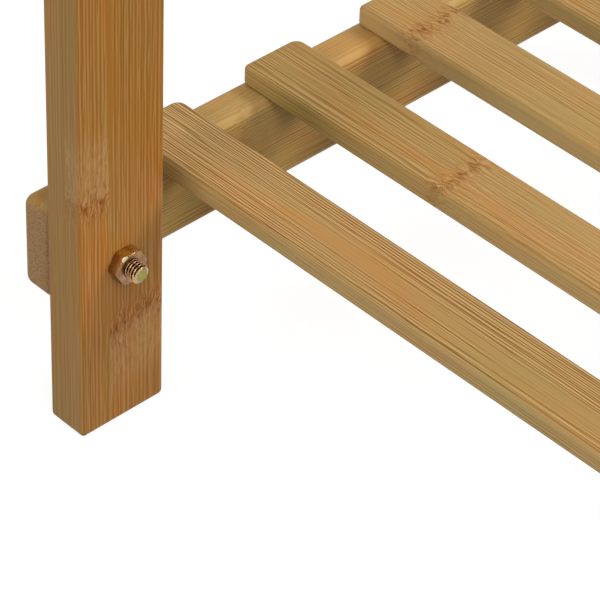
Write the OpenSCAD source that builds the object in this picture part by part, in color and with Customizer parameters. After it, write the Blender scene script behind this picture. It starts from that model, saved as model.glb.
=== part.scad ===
// Entryway bench of flat bamboo bars: four legs, side rails bolted to their outer faces,
// a slatted shelf near the floor and a slatted seat stiffened by two aprons.
// Origin: on the floor under the middle of the bench. +X right, +Y back, +Z up.

/* [Bench] */
// Length over the outer faces of the side rails
bench_length = 700; // [500:10:1000]
// Depth over the legs, front to back
bench_depth = 280; // [250:5:400]
// Height of the top of the seat above the floor
seat_height = 450; // [350:5:550]

/* [Legs] */
// Width of a leg, front to back
leg_width = 30.5; // [26:0.5:40]
// Thickness of a leg, along the bench
leg_thickness = 14.2; // [12:0.1:22]
// Rounding of the long edges of a leg
leg_round = 1.3; // [0.5:0.1:3]
// Rounding of the edges round a leg's foot
foot_round = 2.3; // [0.5:0.1:4]

/* [Side rails] */
// Thickness of the side rails
rail_thickness = 13.3; // [12:0.1:22]
// Height of the shelf's side rails
shelf_rail_height = 31.3; // [26:0.1:50]
// Space between the floor and the shelf's side rails
shelf_clearance = 40.6; // [20:0.1:120]
// How far the seat's side rails reach below the aprons
rail_below_apron = 22; // [20:0.5:40]
// Rounding of all edges of the side rails
rail_round = 3.4; // [1:0.1:4.5]
// How far the rail ends stay behind the outer edges of the legs
rail_setback = 1.8; // [0:0.1:5]

/* [Shelf] */
// Number of shelf slats
shelf_slat_count = 5; // [3:1:7]
// Width of a shelf slat
shelf_slat_width = 21.8; // [16:0.1:28]
// Thickness of a shelf slat
shelf_slat_thickness = 7.1; // [6.5:0.1:12]
// Space between a leg and the shelf slat next to it
leg_slat_gap = 6.1; // [2:0.1:15]
// Rounding of the long edges and end edges of a shelf slat
shelf_slat_round = 1.6; // [0.5:0.1:2.5]
// Width of the batten under the middle of the shelf
shelf_batten_width = 30; // [20:1:60]
// Thickness of the batten under the middle of the shelf
shelf_batten_thickness = 10; // [8:0.5:18]
// How far the shelf batten's ends stay inside the outer slats' edges
shelf_batten_inset = 3; // [0:0.5:6]

/* [Seat] */
// Number of seat slats
seat_slat_count = 7; // [5:1:8]
// Width of a seat slat
seat_slat_width = 30; // [24:0.5:36]
// Thickness of a seat slat
seat_slat_thickness = 12; // [10:0.5:20]
// Rounding of the long edges and end edges of a seat slat
seat_slat_round = 2.2; // [0.5:0.1:4]
// How far all slat ends stay inside the outer faces of the side rails
slat_end_inset = 2.2; // [0:0.1:4]
// Rounding of the slats' corners, seen from above
slat_corner_round = 3.4; // [2.2:0.1:6]
// The same for the front corners of the shelf slats
shelf_slat_front_round = 1.8; // [1.6:0.1:6]
// Height of the long aprons under the seat
apron_height = 30; // [26:0.5:60]
// Thickness of the long aprons
apron_thickness = 18; // [16:0.5:24]
// Width of the batten under the middle of the seat
seat_batten_width = 45; // [36:1:80]
// Thickness of the batten under the middle of the seat
seat_batten_thickness = 14; // [11:0.5:20]
// Rounding of the long edges of aprons and battens
apron_round = 2; // [0.5:0.1:4]

/* [Bolts and nuts] */
// Diameter of all bolts
bolt_diameter = 6; // [5:0.5:8]
// Diameter of a bolt's domed head
bolt_head_diameter = 15; // [12:0.5:18]
// Height of a bolt's domed head
bolt_head_height = 3.2; // [2:0.1:5]
// Length of the square neck under a domed head
bolt_neck = 4; // [3:0.1:6]
// How much wider the square neck is than the bolt
bolt_neck_extra = 0.4; // [0.2:0.1:0.8]
// Length of bolt that stands out past its nut
bolt_past_nut = 4.2; // [1:0.1:8]
// How far the shelf's bolts sit above the middle of their rails
bolt_above_middle = 1.1; // [0:0.1:3]
// Size of a nut across its flats
nut_across_flats = 9.9; // [9.5:0.1:14]
// Height of a nut
nut_height = 4; // [3:0.1:8]
// Height of an apron bolt's flat head
flat_head_height = 2.4; // [1.5:0.1:4]
// Size of the hexagon socket in an apron bolt's head
socket_across_flats = 4; // [3:0.5:5]
// Diameter of a barrel nut
barrel_diameter = 10; // [9:0.5:12]
// Length of a barrel nut
barrel_length = 12; // [10:0.5:13]
// Distance from an apron's end to its barrel nut
barrel_inset = 25; // [15:1:50]
// Length of apron bolt past the barrel nut
bolt_past_barrel = 2.5; // [0.5:0.1:8]

/* [Dowels and screws] */
// Diameter of the shelf's dowels
shelf_dowel_diameter = 5; // [4:0.5:6]
// Length of a shelf dowel inside its slat
shelf_dowel_in_slat = 4.5; // [3:0.1:5]
// Length of a shelf dowel inside the rail
shelf_dowel_in_rail = 9.5; // [5:0.5:20]
// Diameter of the seat's dowels
seat_dowel_diameter = 6; // [4:0.5:8]
// Length of a seat dowel inside its slat
seat_dowel_in_slat = 8; // [5:0.5:8.5]
// Length of a seat dowel inside a rail or an apron
seat_dowel_in_rail = 9.5; // [5:0.5:9.5]
// Distance of the apron dowels from the middle of the bench
apron_dowel_place = 200; // [60:5:210]
// Length of a batten dowel inside the apron
batten_dowel_in_apron = 10; // [6:0.5:14]
// Length of a batten dowel inside the batten
batten_dowel_in_batten = 14; // [8:0.5:30]
// Distance between the two dowels at each end of the seat batten
batten_dowel_spacing = 24; // [12:1:28]
// Thread diameter of the batten screws
screw_diameter = 4; // [3:0.1:5]
// Head diameter of the batten screws
screw_head_diameter = 7.6; // [6:0.1:9]
// Head height of the batten screws
screw_head_height = 2.2; // [1.5:0.1:3]
// Length of a screw inside a shelf slat
shelf_screw_bite = 4.5; // [3:0.1:5]
// Length of a screw inside a seat slat
seat_screw_bite = 7; // [4:0.1:8]

/* [Fits] */
// Space round a bolt in its hole
bolt_clearance = 0.3; // [0.1:0.05:0.6]
// Space round a bolt's square neck, and past its end
neck_clearance = 0.2; // [0.1:0.05:0.5]
// Space between the threads of a bolt and its nut
thread_clearance = 0.1; // [0.05:0.05:0.2]
// Glue line round a dowel, and bite line round a screw
glue_gap = 0.1; // [0.05:0.05:0.2]
// Free depth past the end of a dowel, a screw or a bolt
end_clearance = 0.5; // [0.2:0.1:1]

/* [Hidden] */
$fn = 48;
cut = 1;  // how far a hole runs past an open face
dowel_chamfer = 0.6;
tip_chamfer = 1.1;
chamfer_angle = 30;
nut_face_share = 0.95;  // a nut's flat face, as a share of its size across the flats
nut_turns = [30, 9, 23, 36];  // how far each nut is turned when it is tight

// Side frames
rail_x = bench_length / 2 - rail_thickness / 2;
leg_x = bench_length / 2 - rail_thickness - leg_thickness / 2;
leg_inner_x = leg_x - leg_thickness / 2;
leg_y = bench_depth / 2 - leg_width / 2;
frame_top = seat_height - seat_slat_thickness;
rail_length = bench_depth - 2 * rail_setback;
shelf_bolt_z = shelf_clearance + shelf_rail_height / 2 + bolt_above_middle;
shelf_top = shelf_clearance + shelf_rail_height;
seat_rail_height = apron_height + rail_below_apron;
seat_rail_bottom = frame_top - seat_rail_height;
seat_bolt_z = seat_rail_bottom + rail_below_apron / 2;
apron_bolt_z = frame_top - apron_height / 2;

// Slats
slat_length = bench_length - 2 * slat_end_inset;
shelf_slat_first = bench_depth / 2 - leg_width - leg_slat_gap - shelf_slat_width / 2;
shelf_slat_pitch = 2 * shelf_slat_first / (shelf_slat_count - 1);
seat_slat_first = bench_depth / 2 - seat_slat_width / 2;
seat_slat_pitch = 2 * seat_slat_first / (seat_slat_count - 1);
function shelf_slat_y(i) = (i - 1) * shelf_slat_pitch - shelf_slat_first;
function seat_slat_y(i) = (i - 1) * seat_slat_pitch - seat_slat_first;
function is_outer(i) = i == 1 || i == seat_slat_count;
// the outer seat slats are dowelled over the middle of the legs and aprons
function seat_dowel_y(i) = is_outer(i) ? sign(seat_slat_y(i)) * leg_y : seat_slat_y(i);

// Aprons and battens
apron_inner_y = leg_y - apron_thickness / 2;
shelf_batten_length = 2 * shelf_slat_first + shelf_slat_width - 2 * shelf_batten_inset;

// Bolts
bolt_radius = bolt_diameter / 2;
bolt_hole_radius = bolt_radius + bolt_clearance;
neck_side = bolt_diameter + bolt_neck_extra;
bolt_grip = rail_thickness + leg_thickness;
nut_bolt_length = bolt_grip + nut_height + bolt_past_nut;
apron_bolt_length = bolt_grip + barrel_inset + barrel_diameter / 2 + bolt_past_barrel;

// Colours
bamboo = [0.76, 0.58, 0.36];
bamboo_dark = [0.70, 0.51, 0.29];
beech = [0.86, 0.76, 0.58];
yellow_zinc = [0.72, 0.62, 0.34];
steel = [0.62, 0.63, 0.64];

// ---------- Shapes ----------

// A rectangle about the origin with round corners
module rounded_rect(w, h, r) {
    square([w - 2 * r, h], center = true);
    square([w, h - 2 * r], center = true);
    for (x = [-1, 1], y = [-1, 1])
        translate([x * (w / 2 - r), y * (h / 2 - r)]) circle(r);
}

// A bar along X, about the origin, with round long edges and square ends
module square_ended_bar(l, w, h, r) {
    rotate([90, 0, 90]) linear_extrude(l, center = true) rounded_rect(w, h, r);
}

// A flat shape standing on the origin, its lower corners round, its upper ones round or square
module side_outline(w, h, r, round_top) {
    translate([0, h / 2]) rounded_rect(w, h, r);
    if (!round_top) translate([-w / 2, h / 2]) square([w, h / 2]);
}

// A block standing on the origin. Its upright edges are rounded by back_r and front_r, the edges
// round its foot by r, and those round its top either by r too or not at all
module rounded_block(l, w, h, back_r, front_r, r, round_top) {
    intersection() {
        linear_extrude(h) {
            translate([-l / 2, front_r - w / 2]) square([l, w - front_r - back_r]);
            translate([front_r - l / 2, -w / 2]) square([l - 2 * front_r, w / 2]);
            translate([back_r - l / 2, 0]) square([l - 2 * back_r, w / 2]);
        }
        rotate([90, 0, 0]) linear_extrude(w, center = true) side_outline(l, h, r, round_top);
        rotate([90, 0, 90]) linear_extrude(l, center = true) side_outline(w, h, r, round_top);
    }
    for (x = [-1, 1], y = [-1, 1], corner_r = y < 0 ? front_r : back_r) at_end(x) at_face(y)
        translate([l / 2 - corner_r, w / 2 - corner_r, 0]) rotate_extrude(angle = 90)
            intersection() {
                square([corner_r, h]);
                translate([corner_r - l / 2, 0]) side_outline(l, h, r, round_top);
            }
}

// A round hole along X, through the origin
module hole_x(r, l) {
    rotate([0, 90, 0]) cylinder(r = r, h = l, center = true);
}

// Draws its children at the right (1) or the left (-1) end of the bench
module at_end(x) {
    if (x < 0) mirror([1, 0, 0]) children();
    else children();
}

// Draws its children at the front (-1) or the back (1) of the bench
module at_face(y) {
    if (y < 0) mirror([0, 1, 0]) children();
    else children();
}

// Draws its children at all four corners of the bench
module at_corners() {
    for (x = [-1, 1], y = [-1, 1]) at_end(x) at_face(y) children();
}

// ---------- Legs ----------

module leg(x, y) {
    color(bamboo_dark)
    at_end(x) at_face(y) translate([leg_x, leg_y, 0])
    difference() {
        rounded_block(leg_thickness, leg_width, frame_top, leg_round, leg_round, foot_round, false);
        for (z = [shelf_bolt_z, seat_bolt_z, apron_bolt_z])
            translate([0, 0, z]) hole_x(bolt_hole_radius, leg_thickness + 2 * cut);
    }
}

// ---------- Side rails ----------

// A side rail, all its edges round, with its underside at the height given
module rail_bar(bottom, height) {
    translate([0, 0, bottom])
        rounded_block(rail_thickness, rail_length, height, rail_round, rail_round, rail_round, true);
}

// A bolt's hole through a rail, with the pocket for the square neck on the outside
module neck_hole() {
    neck = neck_side + 2 * neck_clearance;
    pocket = bolt_neck + neck_clearance;
    hole_x(bolt_hole_radius, rail_thickness + 2 * cut);
    translate([rail_thickness / 2 - pocket, -neck / 2, -neck / 2])
        cube([pocket + cut, neck, neck]);
}

module shelf_rail(x) {
    color(bamboo)
    at_end(x) translate([rail_x, 0, 0])
    difference() {
        rail_bar(shelf_clearance, shelf_rail_height);
        for (y = [-1, 1]) translate([0, y * leg_y, shelf_bolt_z]) neck_hole();
        for (i = [1 : shelf_slat_count])
            translate([0, shelf_slat_y(i), shelf_top])
                dowel_hole(shelf_dowel_diameter, shelf_dowel_in_rail);
    }
}

module seat_rail(x) {
    color(bamboo)
    at_end(x) translate([rail_x, 0, 0])
    difference() {
        rail_bar(seat_rail_bottom, seat_rail_height);
        for (y = [-1, 1]) translate([0, y * leg_y, 0]) {
            translate([0, 0, seat_bolt_z]) neck_hole();
            translate([0, 0, apron_bolt_z]) hole_x(bolt_hole_radius, rail_thickness + 2 * cut);
        }
        for (i = [1 : seat_slat_count])
            translate([0, seat_dowel_y(i), frame_top])
                dowel_hole(seat_dowel_diameter, seat_dowel_in_rail);
    }
}

// ---------- Shelf ----------

module shelf_slat(i) {
    color(bamboo)
    translate([0, shelf_slat_y(i), shelf_top])
    difference() {
        rounded_block(slat_length, shelf_slat_width, shelf_slat_thickness,
                      slat_corner_round, shelf_slat_front_round, shelf_slat_round, true);
        for (x = [-1, 1]) translate([x * rail_x, 0, 0])
            dowel_socket(shelf_dowel_diameter, shelf_dowel_in_slat);
        dowel_socket(screw_diameter, shelf_screw_bite);
    }
}

module shelf_batten() {
    color(bamboo_dark)
    difference() {
        translate([0, 0, shelf_top - shelf_batten_thickness / 2]) rotate([0, 0, 90])
            square_ended_bar(shelf_batten_length, shelf_batten_width,
                             shelf_batten_thickness, apron_round);
        for (i = [1 : shelf_slat_count])
            translate([0, shelf_slat_y(i), shelf_top - shelf_batten_thickness])
                screw_hole(shelf_batten_thickness);
    }
}

// ---------- Seat ----------

module seat_slat(i) {
    color(bamboo)
    difference() {
        translate([0, seat_slat_y(i), frame_top])
            rounded_block(slat_length, seat_slat_width, seat_slat_thickness,
                          slat_corner_round, slat_corner_round, seat_slat_round, true);
        translate([0, seat_dowel_y(i), frame_top]) {
            for (x = [-1, 1]) translate([x * rail_x, 0, 0])
                dowel_socket(seat_dowel_diameter, seat_dowel_in_slat);
            if (is_outer(i)) {
                for (x = [-1, 1]) translate([x * apron_dowel_place, 0, 0])
                    dowel_socket(seat_dowel_diameter, seat_dowel_in_slat);
            } else {
                dowel_socket(screw_diameter, seat_screw_bite);
            }
        }
    }
}

module seat_apron(y) {
    bolt_hole_depth = apron_bolt_length - bolt_grip + end_clearance;
    barrel_hole_depth = (apron_thickness + barrel_length) / 2 + end_clearance;
    color(bamboo_dark)
    at_face(y) difference() {
        translate([0, leg_y, apron_bolt_z])
            square_ended_bar(2 * leg_inner_x, apron_thickness, apron_height, apron_round);
        for (x = [-1, 1]) at_end(x) {
            translate([leg_inner_x - bolt_hole_depth, leg_y, apron_bolt_z])
                rotate([0, 90, 0]) cylinder(r = bolt_hole_radius, h = bolt_hole_depth + cut);
            translate([leg_inner_x - barrel_inset, apron_inner_y - cut, apron_bolt_z])
                rotate([-90, 0, 0])
                cylinder(r = barrel_diameter / 2 + glue_gap, h = barrel_hole_depth + cut);
            translate([apron_dowel_place, leg_y, frame_top])
                dowel_hole(seat_dowel_diameter, seat_dowel_in_rail);
            translate([batten_dowel_spacing / 2, apron_inner_y, seat_batten_z()])
                rotate([-90, 0, 0]) dowel_socket(seat_dowel_diameter, batten_dowel_in_apron);
        }
    }
}

function seat_batten_z() = frame_top - seat_batten_thickness / 2;

module seat_batten() {
    color(bamboo_dark)
    difference() {
        translate([0, 0, seat_batten_z()]) rotate([0, 0, 90])
            square_ended_bar(2 * apron_inner_y, seat_batten_width,
                             seat_batten_thickness, apron_round);
        for (i = [2 : seat_slat_count - 1])
            translate([0, seat_slat_y(i), frame_top - seat_batten_thickness])
                screw_hole(seat_batten_thickness);
        for (x = [-1, 1], y = [-1, 1]) at_face(y)
            translate([x * batten_dowel_spacing / 2, apron_inner_y, seat_batten_z()])
                rotate([90, 0, 0]) dowel_socket(seat_dowel_diameter, batten_dowel_in_batten);
    }
}

// ---------- Dowels and screws ----------

// A dowel along Z that reaches below and above the origin
module dowel(d, below, above) {
    r = d / 2;
    c = dowel_chamfer;
    rotate_extrude()
        polygon([[0, -below], [r - c, -below], [r, c - below],
                 [r, above - c], [r - c, above], [0, above]]);
}

// A blind hole up from the origin for a dowel or a screw
module dowel_socket(d, depth) {
    translate([0, 0, -cut])
        cylinder(r = d / 2 + glue_gap, h = depth + end_clearance / 2 + cut);
}

// A blind hole down from the origin for a dowel
module dowel_hole(d, depth) {
    translate([0, 0, -depth - end_clearance])
        cylinder(r = d / 2 + glue_gap, h = depth + end_clearance + cut);
}

// A countersunk screw that points up and starts at the origin
module screw(l) {
    r = screw_diameter / 2;
    rotate_extrude()
        polygon([[0, 0], [screw_head_diameter / 2, 0], [r, screw_head_height],
                 [r, l - r], [0.2, l], [0, l]]);
}

// A screw's clearance hole up from the origin, countersunk
module screw_hole(depth) {
    r = screw_diameter / 2 + bolt_clearance;
    head_r = screw_head_diameter / 2 + bolt_clearance;
    translate([0, 0, -cut]) cylinder(r = r, h = depth + 2 * cut);
    cylinder(r1 = head_r, r2 = r, h = screw_head_height);
    translate([0, 0, -cut]) cylinder(r = head_r, h = cut);
}

module shelf_slat_dowels() {
    color(beech)
    for (x = [-1, 1], i = [1 : shelf_slat_count])
        translate([x * rail_x, shelf_slat_y(i), shelf_top])
            dowel(shelf_dowel_diameter, shelf_dowel_in_rail, shelf_dowel_in_slat);
}

module seat_slat_dowels() {
    color(beech) {
        for (x = [-1, 1], i = [1 : seat_slat_count])
            translate([x * rail_x, seat_dowel_y(i), frame_top])
                dowel(seat_dowel_diameter, seat_dowel_in_rail, seat_dowel_in_slat);
        for (x = [-1, 1], y = [-1, 1])
            translate([x * apron_dowel_place, y * leg_y, frame_top])
                dowel(seat_dowel_diameter, seat_dowel_in_rail, seat_dowel_in_slat);
    }
}

module batten_dowels() {
    color(beech)
    for (x = [-1, 1], y = [-1, 1]) at_face(y)
        translate([x * batten_dowel_spacing / 2, apron_inner_y, seat_batten_z()])
            rotate([-90, 0, 0])
            dowel(seat_dowel_diameter, batten_dowel_in_batten, batten_dowel_in_apron);
}

module shelf_batten_screws() {
    color(steel)
    for (i = [1 : shelf_slat_count])
        translate([0, shelf_slat_y(i), shelf_top - shelf_batten_thickness])
            screw(shelf_batten_thickness + shelf_screw_bite);
}

module seat_batten_screws() {
    color(steel)
    for (i = [2 : seat_slat_count - 1])
        translate([0, seat_slat_y(i), frame_top - seat_batten_thickness])
            screw(seat_batten_thickness + seat_screw_bite);
}

// ---------- Bolts and nuts ----------

// Half the outline of a bolt's shank, down from the origin, with a chamfered tip
module shank_outline(l) {
    c = tip_chamfer;
    polygon([[0, cut / 2], [bolt_radius, cut / 2], [bolt_radius, c - l], [bolt_radius - c, -l],
             [0, -l]]);
}

// A domed bolt with a square neck, its head seated at the origin, pointing to -X
module domed_bolt() {
    head_r = bolt_head_diameter / 2;
    dome_r = (head_r * head_r + bolt_head_height * bolt_head_height) / (2 * bolt_head_height);
    rotate([0, 90, 0]) rotate_extrude() {
        intersection() {
            translate([0, bolt_head_height - dome_r]) circle(dome_r);
            square([head_r, bolt_head_height]);
        }
        shank_outline(nut_bolt_length);
    }
    translate([-bolt_neck, -neck_side / 2, -neck_side / 2])
        cube([bolt_neck + cut / 2, neck_side, neck_side]);
}

// A flat-headed bolt with a hexagon socket, its head seated at the origin, pointing to -X
module socket_bolt() {
    head_r = bolt_head_diameter / 2;
    edge = flat_head_height / 2;
    difference() {
        rotate([0, 90, 0]) rotate_extrude() {
            polygon([[0, 0], [head_r, 0], [head_r, edge], [head_r - edge, flat_head_height],
                     [0, flat_head_height]]);
            shank_outline(apron_bolt_length);
        }
        rotate([0, 90, 0])
            cylinder(d = socket_across_flats / cos(30), h = flat_head_height + cut, $fn = 6);
    }
}

// A hexagon nut from the origin towards -X, with its corners chamfered on both faces
module nut(turn) {
    corner_r = nut_across_flats / 2 / cos(30);
    face_r = nut_face_share * nut_across_flats / 2;
    c = (corner_r - face_r) * tan(chamfer_angle);
    rotate([turn, 0, 0]) rotate([0, -90, 0]) difference() {
        intersection() {
            cylinder(r = corner_r, h = nut_height, $fn = 6);
            rotate_extrude()
                polygon([[0, 0], [face_r, 0], [corner_r, c], [corner_r, nut_height - c],
                         [face_r, nut_height], [0, nut_height]]);
        }
        translate([0, 0, -cut])
            cylinder(r = bolt_radius + thread_clearance, h = nut_height + 2 * cut);
    }
}

module bolts_at(z) {
    color(yellow_zinc)
    at_corners() translate([bench_length / 2, leg_y, z]) domed_bolt();
}

module nuts_at(z) {
    color(yellow_zinc)
    for (x = [-1, 1], y = [-1, 1])
        at_end(x) at_face(y) translate([leg_inner_x, leg_y, z])
            nut(nut_turns[(x + 1) + (y + 1) / 2]);
}

module apron_bolts() {
    color(yellow_zinc)
    at_corners() translate([bench_length / 2, leg_y, apron_bolt_z]) socket_bolt();
}

module apron_barrel_nuts() {
    color(steel)
    at_corners() translate([leg_inner_x - barrel_inset, leg_y, apron_bolt_z])
    difference() {
        rotate([90, 0, 0]) cylinder(d = barrel_diameter, h = barrel_length, center = true);
        hole_x(bolt_radius + thread_clearance, barrel_diameter + 2 * cut);
    }
}

leg(-1, -1);  // leg_front_left
leg(1, -1);  // leg_front_right
leg(-1, 1);  // leg_back_left
leg(1, 1);  // leg_back_right
shelf_rail(-1);  // shelf_rail_left
shelf_rail(1);  // shelf_rail_right
for (i = [1 : shelf_slat_count])
    shelf_slat(i);
shelf_batten();
seat_rail(-1);  // seat_rail_left
seat_rail(1);  // seat_rail_right
seat_apron(-1);  // seat_apron_front
seat_apron(1);  // seat_apron_back
seat_batten();
for (i = [1 : seat_slat_count])
    seat_slat(i);
bolts_at(shelf_bolt_z);  // shelf_bolts
nuts_at(shelf_bolt_z);  // shelf_nuts
bolts_at(seat_bolt_z);  // seat_bolts
nuts_at(seat_bolt_z);  // seat_nuts
apron_bolts();
apron_barrel_nuts();
shelf_slat_dowels();
seat_slat_dowels();
batten_dowels();
shelf_batten_screws();
seat_batten_screws();
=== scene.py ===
"""Entryway bench: glued bamboo bars in satin lacquer, with yellow zinc bolts and nuts."""

import math

import bmesh
import bpy
from bpy.props import FloatProperty, FloatVectorProperty, IntProperty, PointerProperty
from mathutils import Matrix, Vector


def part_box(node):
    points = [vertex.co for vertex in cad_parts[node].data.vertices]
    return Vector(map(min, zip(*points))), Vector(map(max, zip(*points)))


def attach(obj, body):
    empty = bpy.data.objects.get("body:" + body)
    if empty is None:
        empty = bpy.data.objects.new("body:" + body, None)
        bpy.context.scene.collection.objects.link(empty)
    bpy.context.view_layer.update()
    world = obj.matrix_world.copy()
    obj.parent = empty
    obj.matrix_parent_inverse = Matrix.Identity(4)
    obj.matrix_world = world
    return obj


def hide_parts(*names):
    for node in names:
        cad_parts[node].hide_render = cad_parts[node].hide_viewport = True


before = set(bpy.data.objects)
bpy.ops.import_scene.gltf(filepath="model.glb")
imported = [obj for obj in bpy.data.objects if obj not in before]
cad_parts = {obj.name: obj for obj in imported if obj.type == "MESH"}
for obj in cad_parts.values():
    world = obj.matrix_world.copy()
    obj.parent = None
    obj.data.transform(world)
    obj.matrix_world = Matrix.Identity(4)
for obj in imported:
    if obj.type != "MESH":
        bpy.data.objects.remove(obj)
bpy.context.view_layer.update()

bl_info = {
    "name": "Entryway bench",
    "version": (1, 0, 0),
    "blender": (4, 5, 0),
    "location": "3D View > Sidebar > Bench",
    "description": "Dresses the bench's frame: bamboo, lacquer, threaded bolts and nuts, and the stage",
    "category": "Object",
}

MM = 0.001
BODY = "root"

# The three directions of a bar: along the grain, across its wide side, and through its thickness.
X, Y, Z = (1, 0, 0), (0, 1, 0), (0, 0, 1)
LEG_GRAIN = (Z, Y, X)
RAIL_GRAIN = (Y, Z, X)
SLAT_GRAIN = (X, Y, Z)
APRON_GRAIN = (X, Z, Y)
BATTEN_GRAIN = (Y, X, Z)


def linear(colour):
    """A colour as it is seen, turned into the shader's linear values with full opacity."""
    return tuple(c / 12.92 if c <= 0.04045 else ((c + 0.055) / 1.055) ** 2.4 for c in colour) + (1.0,)


def shade(name, words, default):
    return FloatVectorProperty(
        name=name, description=words, default=default, size=3, subtype="COLOR_GAMMA", min=0, max=1
    )


def length(name, words, default):
    return FloatProperty(name=name, description=words, default=default, min=0, unit="LENGTH", precision=5)


def share(name, words, default, most=1.0):
    return FloatProperty(name=name, description=words, default=default, min=0, max=most, subtype="FACTOR")


def angle(name, words, degrees):
    return FloatProperty(name=name, description=words, default=math.radians(degrees), subtype="ANGLE")


def power(name, words, default):
    return FloatProperty(name=name, description=words, default=default, min=0, unit="POWER")


# ---------------------------------------------------------------- sizes and colours that a user would change


class BenchBamboo(bpy.types.PropertyGroup):
    """Tones and grain sizes of the bamboo bars."""

    leg_tone: shade("Leg tone", "Main tone of the legs' wide faces", (0.692, 0.477, 0.207))
    leg_side_tone: shade("Leg side tone", "Main tone of the legs' narrow faces", (0.655, 0.495, 0.265))
    rail_tone: shade("Rail tone", "Main tone of rails, aprons and battens", (0.715, 0.566, 0.308))
    rail_side_tone: shade("Rail side tone", "Main tone of the rails' narrow faces", (0.730, 0.590, 0.350))
    slat_tone: shade("Slat tone", "Main tone of the slats' tops", (0.706, 0.562, 0.336))
    slat_side_tone: shade("Slat side tone", "Main tone of the slats' narrow sides", (0.770, 0.640, 0.410))
    fibre_shade: shade("Fibre shade", "Shade of the dark fibres over a bar's tone", (0.800, 0.690, 0.560))
    pale_tone: shade("Pale tone", "Cream of the pale fibres", (0.880, 0.750, 0.530))
    end_tone: shade("End tone", "Cut ends of the bars", (0.682, 0.542, 0.374))
    node_tone: shade("Node tone", "Orange tint round the growth nodes", (0.710, 0.470, 0.210))
    fibre_size: length("Fibre size", "Usual distance between two fibres", 0.00045)
    waviness: length("Waviness", "How far a fibre wanders sideways", 0.00010)
    node_spacing: length("Node spacing", "Distance between two growth nodes of one strip", 0.260)
    groove: length("Groove depth", "Depth of the open grain under the lacquer", 0.00006)


class BenchMetal(bpy.types.PropertyGroup):
    """Plating of the fasteners, and the sizes of their threads."""

    face: shade("Face", "Pressed faces of the nuts", (0.545, 0.405, 0.275))
    # Painted reflection: the flats that look up take this gold in place of the lit wood they mirror, over the
    # plating's own drift.
    upward_flat_painted_reflection: shade("Upward flat painted reflection", "Flats of the nuts that look up", (0.820, 0.690, 0.320))
    # Painted shade: the flats beside them take this darker rose in place of the shaded wood they mirror.
    side_flat_painted_shade: shade("Side flat painted shade", "Flats of the nuts beside those", (0.660, 0.480, 0.330))
    # Painted highlight: a pale tone that stands in for the glint on one corner of each nut.
    painted_glint: shade("Painted corner glint", "Painted glint on an upper corner of a nut", (0.860, 0.780, 0.650))
    crest: shade("Crest", "Crests of the threads", (0.740, 0.600, 0.420))
    # Painted shade: a dark tone for the thread hollows, the countersinks and the bores, where shade falls.
    hollow_shade: shade("Painted shade in thread hollows", "Hollows of the threads and holes", (0.250, 0.165, 0.100))
    tip: shade("Tip", "Ends of the bolts", (0.595, 0.525, 0.170))
    rim: shade("Rim", "Edges of the bolts' ends", (0.540, 0.570, 0.410))
    rose: shade("Rose", "Pink areas of the yellow zinc", (0.660, 0.470, 0.400))
    olive: shade("Olive", "Green areas of the yellow zinc", (0.600, 0.580, 0.320))
    teal: shade("Teal", "Blue green areas of the yellow zinc", (0.380, 0.580, 0.480))
    steel: shade("Steel", "Plain zinc on barrel nuts and screws", (0.720, 0.730, 0.740))
    pitch: length("Thread pitch", "Distance between two turns of the bolt thread", 0.001)
    thread_depth: length("Thread depth", "Depth of the bolt thread", 0.00058)
    thread_length: length("Thread length", "Threaded part of a bolt", 0.018)
    end_chamfer: length("End chamfer", "Chamfer on the end of a bolt", 0.00115)
    turn_steps: IntProperty(name="Steps per turn", description="Mesh steps round a bolt", default=60, min=12)


class BenchStage(bpy.types.PropertyGroup):
    """Camera, lights and floor."""

    azimuth: angle("Camera azimuth", "Camera's turn round the bench from the front", 45.004)
    elevation: angle("Camera elevation", "Camera's height above the horizon", 39.383)
    roll: angle("Camera roll", "Camera's turn round its own line of sight", 2.383)
    lens: FloatProperty(name="Lens", description="Focal length", default=194.5, min=1, unit="CAMERA")
    distance: length("Camera distance", "From the camera to the plane of the left foot's corner", 0.938385)
    aim_right: length("Aim right", "How far the camera aims to the right of that corner", 0.080728)
    aim_up: length("Aim up", "How far the camera aims above that corner", 0.026904)
    back_power: power("Back power", "Power of the softbox behind the bench", 21.5)
    right_power: power("Right power", "Power of the softbox on the bench's right", 14)
    front_power: power("Front power", "Power of the softbox in front of the bench", 6.5)
    sky: share("Sky", "Strength of the light from above", 0.48, 2.0)
    horizon: share("Horizon", "Strength of the light at the horizon against that from above", 0.15)
    floor: shade("Floor", "Floor colour", (0.60, 0.60, 0.60))
    floor_glow: share("Floor glow", "White that the floor shows by itself, which keeps shadows pale", 0.84)


SETTINGS = {"bench_bamboo": BenchBamboo, "bench_metal": BenchMetal, "bench_stage": BenchStage}


# ---------------------------------------------------------------- wiring of shader nodes


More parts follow.
